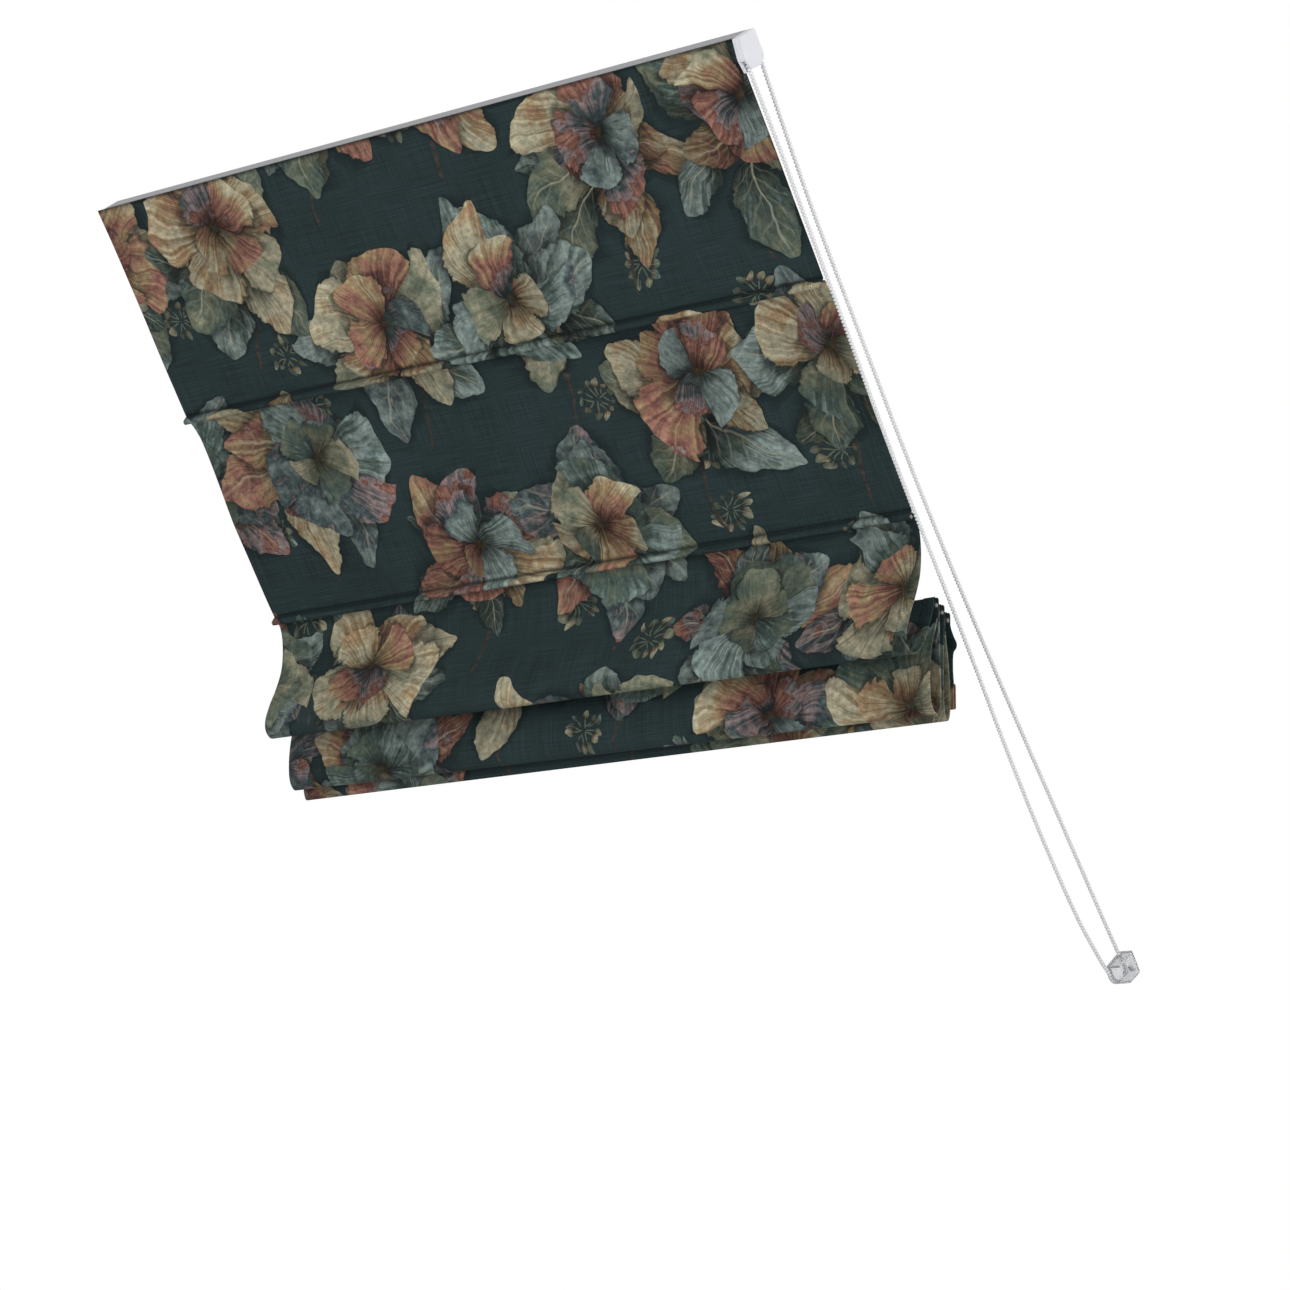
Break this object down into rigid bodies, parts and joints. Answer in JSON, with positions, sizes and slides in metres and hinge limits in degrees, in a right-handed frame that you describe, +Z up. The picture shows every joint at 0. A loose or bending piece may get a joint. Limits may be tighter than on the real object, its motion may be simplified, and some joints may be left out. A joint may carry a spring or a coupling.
{
  "type": "skylight roman blind",
  "caption": "Half-raised printed cloth blind for a sloping roof window, with a slim headrail, a bead chain drive and a clear chain tensioner.",
  "frame": {"origin": "on the ceiling face of the left bracket, at the middle of the bracket's width and level with the lift shaft", "axes": "+X along the headrail towards the chain drive, +Y level towards the window, +Z up; the sloping ceiling rises towards the viewer at 54.77 degrees from level"},
  "size_m": [0.9368, 0.6425, 0.8855],
  "materials": {
    "rail_paint": "satin powder coat",
    "black_strip": "hook and loop pile",
    "white_plastic": "moulded, satin",
    "steel": "zinc plated",
    "chrome_screw": "polished",
    "chain_plastic": "glossy beads",
    "clear_plastic": "clear, faceted",
    "printed_cloth": "linen-look weave with a leaf print",
    "fibreglass": "drawn, satin",
    "white_cord": "braided"
  },
  "bodies": {
    "headrail": {"headrail": "rail_paint", "hook_strip": "black_strip", "loop_strip": "black_strip", "left_end_cap": "white_plastic", "drive_body": "white_plastic", "drive_cover": "white_plastic", "clutch_spring": "steel", "ceiling_bracket_left": "white_plastic", "ceiling_bracket_right": "white_plastic", "bracket_screw_left": "steel", "bracket_screw_right": "steel", "spool_cradle_left": "white_plastic", "spool_cradle_right": "white_plastic", "bead_chain": "chain_plastic", "tensioner_body": "clear_plastic", "tensioner_screw": "chrome_screw"},
    "lift_shaft": {"lift_shaft": "steel", "cord_spool_left": "white_plastic", "cord_spool_right": "white_plastic", "clutch_hub": "white_plastic", "chain_wheel": "white_plastic"},
    "rod_1": {"rod_1": "fibreglass", "cord_ring_left_1": "white_plastic", "cord_ring_right_1": "white_plastic", "fabric_panel_1": "printed_cloth", "lift_cord_left_1": "white_cord", "lift_cord_right_1": "white_cord"},
    "rod_2": {"rod_2": "fibreglass", "cord_ring_left_2": "white_plastic", "cord_ring_right_2": "white_plastic", "fabric_panel_2": "printed_cloth", "lift_cord_left_2": "white_cord", "lift_cord_right_2": "white_cord"},
    "rod_3": {"rod_3": "fibreglass", "cord_ring_left_3": "white_plastic", "cord_ring_right_3": "white_plastic", "fabric_loop_3": "printed_cloth", "lift_cord_left_3": "white_cord", "lift_cord_right_3": "white_cord"},
    "rod_4": {"rod_4": "fibreglass", "cord_ring_left_4": "white_plastic", "cord_ring_right_4": "white_plastic", "fabric_fold_4": "printed_cloth", "lift_cord_left_4": "white_cord", "lift_cord_right_4": "white_cord"},
    "rod_5": {"rod_5": "fibreglass", "cord_ring_left_5": "white_plastic", "cord_ring_right_5": "white_plastic", "fabric_fold_5": "printed_cloth", "fabric_tail": "printed_cloth", "bottom_bar": "fibreglass", "lift_cord_left_5": "white_cord", "lift_cord_right_5": "white_cord"}
  },
  "joints": [
    {"name": "rod_1_slide", "type": "slide", "parent": "headrail", "child": "rod_1", "axis": [0, -0.5769, 0.8168], "range_m": [0, 0.205], "deforming": ["fabric_panel_1", "lift_cord_left_1", "lift_cord_right_1"]},
    {"name": "rod_2_slide", "type": "slide", "parent": "rod_1", "child": "rod_2", "axis": [0, -0.5769, 0.8168], "range_m": [0, 0.24], "deforming": ["fabric_panel_2", "lift_cord_left_2", "lift_cord_right_2"]},
    {"name": "rod_3_slide", "type": "slide", "parent": "rod_2", "child": "rod_3", "axis": [0, -0.5769, 0.8168], "range_m": [-0.14, 0.074], "deforming": ["fabric_loop_3", "lift_cord_left_3", "lift_cord_right_3"]},
    {"name": "rod_4_slide", "type": "slide", "parent": "rod_3", "child": "rod_4", "axis": [0, -0.5769, 0.8168], "range_m": [-0.23, 0], "deforming": ["fabric_fold_4", "lift_cord_left_4", "lift_cord_right_4"]},
    {"name": "rod_5_slide", "type": "slide", "parent": "rod_4", "child": "rod_5", "axis": [0, -0.5769, 0.8168], "range_m": [-0.225, 0], "deforming": ["fabric_fold_5", "lift_cord_left_5", "lift_cord_right_5"]},
    {"name": "lift_shaft_turn", "type": "hinge", "parent": "headrail", "child": "lift_shaft", "pos_m": [0.338, -0.01536, -0.01085], "axis": [1, 0, 0], "range_deg": [-1300, 690]}
  ],
  "couplings": [
    {"joint": "lift_shaft_turn", "follows": "rod_3_slide", "rad_per_m": 161.29}
  ]
}
